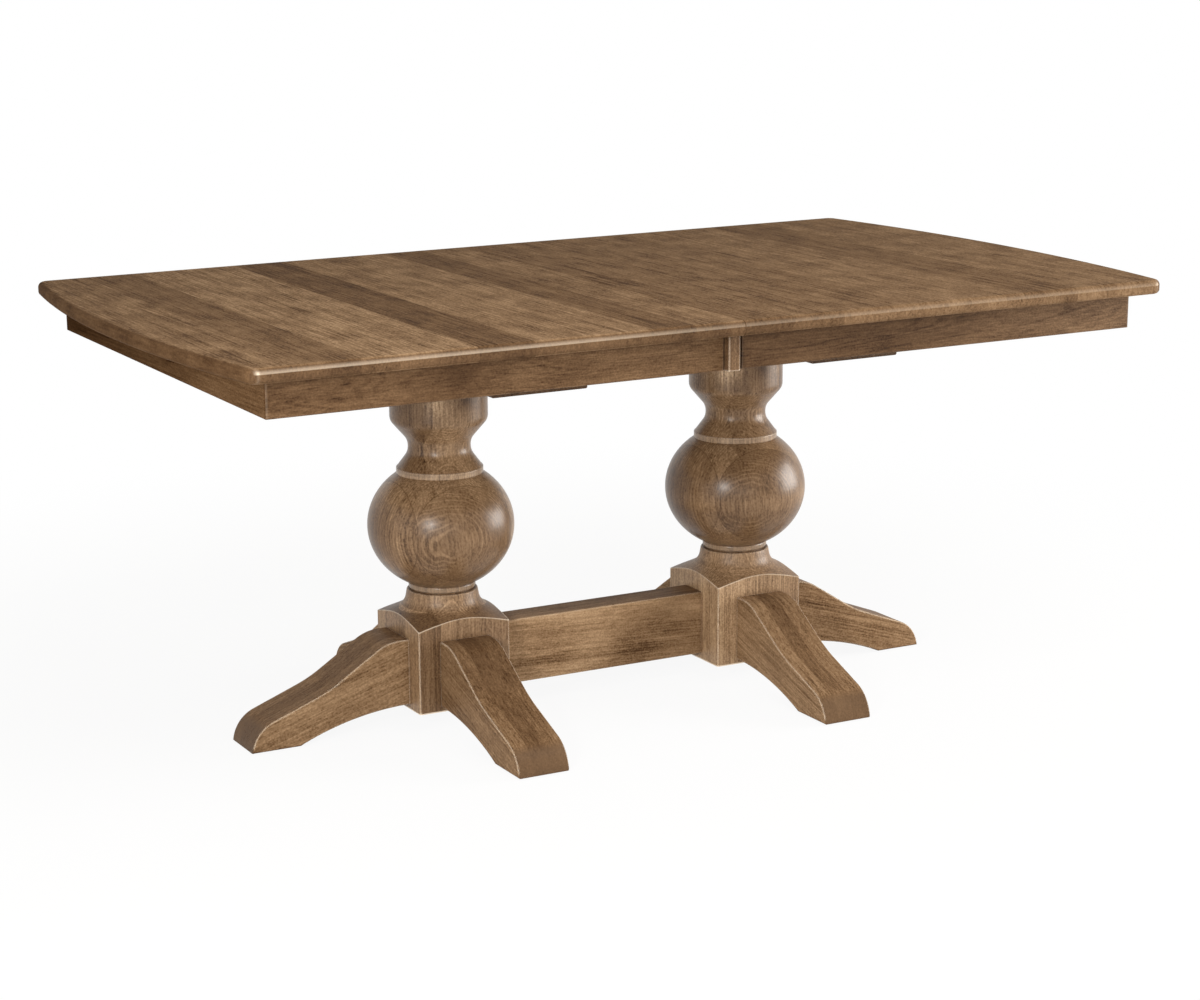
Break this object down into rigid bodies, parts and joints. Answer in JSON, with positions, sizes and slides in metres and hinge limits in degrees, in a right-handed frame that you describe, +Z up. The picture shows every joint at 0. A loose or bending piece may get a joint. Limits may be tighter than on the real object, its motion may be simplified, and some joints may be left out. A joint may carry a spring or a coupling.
{
  "type": "double pedestal dining table",
  "caption": "Extending wooden dining table: bowed-end top parted at a middle seam, turned ball pedestals on splayed legs, low stretcher and geared slides.",
  "frame": {"origin": "on the floor, under the middle of the top", "axes": "+X along the table's length, +Y to the back, +Z up; the pictured front faces -Y"},
  "size_m": [1.829, 1.067, 0.775],
  "materials": {
    "top_wood": "satin stain, boards crosswise",
    "apron_wood": "satin stain, grain lengthwise",
    "column_wood": "satin stain on laminated turning",
    "leg_wood": "satin stain on laminated leg",
    "stretcher_wood": "satin stain, grain lengthwise",
    "hidden_wood": "bare sanded hardwood",
    "dowel_wood": "bare turned hardwood",
    "steel": "zinc plated fasteners",
    "lock_steel": "plated pressed steel",
    "gear_nylon": "natural nylon",
    "glide_nylon": "dark nylon"
  },
  "bodies": {
    "base": {"left_column": "column_wood", "right_column": "column_wood", "left_end_leg": "leg_wood", "left_front_leg": "leg_wood", "left_back_leg": "leg_wood", "right_end_leg": "leg_wood", "right_front_leg": "leg_wood", "right_back_leg": "leg_wood", "stretcher": "stretcher_wood", "left_cleat": "hidden_wood", "right_cleat": "hidden_wood", "front_fixed_runner": "hidden_wood", "back_fixed_runner": "hidden_wood", "pinion_axles": "steel", "foot_glides": "glide_nylon", "leg_dowels": "dowel_wood", "stretcher_dowels": "dowel_wood", "stretcher_bolts": "steel", "stretcher_nuts": "steel", "stretcher_washers": "steel", "cleat_lag_screws": "steel", "fixed_runner_screws": "steel"},
    "left_half": {"left_top": "top_wood", "left_end_apron": "apron_wood", "left_front_apron": "apron_wood", "left_back_apron": "apron_wood", "left_front_corner_block": "hidden_wood", "left_back_corner_block": "hidden_wood", "left_glue_blocks": "hidden_wood", "left_block_screws": "steel", "left_front_runner": "hidden_wood", "left_back_runner": "hidden_wood", "left_front_rack": "gear_nylon", "left_back_rack": "gear_nylon", "left_runner_screws": "steel", "front_seam_block": "apron_wood", "back_seam_block": "apron_wood", "alignment_pins": "dowel_wood", "lock_plates": "lock_steel", "lock_rivets": "lock_steel"},
    "right_half": {"right_top": "top_wood", "right_end_apron": "apron_wood", "right_front_apron": "apron_wood", "right_back_apron": "apron_wood", "right_front_corner_block": "hidden_wood", "right_back_corner_block": "hidden_wood", "right_glue_blocks": "hidden_wood", "right_block_screws": "steel", "right_front_runner": "hidden_wood", "right_back_runner": "hidden_wood", "right_front_rack": "gear_nylon", "right_back_rack": "gear_nylon", "right_runner_screws": "steel", "lock_keepers": "lock_steel"},
    "front_pinion": {"front_pinion": "gear_nylon"},
    "back_pinion": {"back_pinion": "gear_nylon"},
    "front_lock_lever": {"front_lock_lever": "lock_steel"},
    "back_lock_lever": {"back_lock_lever": "lock_steel"}
  },
  "joints": [
    {"name": "left_slide", "type": "slide", "parent": "base", "child": "left_half", "axis": [-1, 0, 0], "range_m": [0, 0.3048]},
    {"name": "right_slide", "type": "slide", "parent": "base", "child": "right_half", "axis": [1, 0, 0], "range_m": [0, 0.3048]},
    {"name": "front_pinion_spin", "type": "hinge", "parent": "base", "child": "front_pinion", "pos_m": [0, -0.2602, 0.7364], "axis": [0, 0, 1], "range_deg": [-873.5, 0]},
    {"name": "back_pinion_spin", "type": "hinge", "parent": "base", "child": "back_pinion", "pos_m": [0, 0.2602, 0.7364], "axis": [0, 0, 1], "range_deg": [0, 873.5]},
    {"name": "front_lock", "type": "hinge", "parent": "left_half", "child": "front_lock_lever", "pos_m": [-0.04, -0.3602, 0.745], "axis": [0, 0, 1], "range_deg": [0, 90]},
    {"name": "back_lock", "type": "hinge", "parent": "left_half", "child": "back_lock_lever", "pos_m": [-0.04, 0.3602, 0.745], "axis": [0, 0, -1], "range_deg": [0, 90]}
  ],
  "couplings": [
    {"joint": "right_slide", "follows": "left_slide", "ratio": 1},
    {"joint": "front_pinion_spin", "follows": "left_slide", "rad_per_m": -50},
    {"joint": "back_pinion_spin", "follows": "left_slide", "rad_per_m": 50}
  ]
}
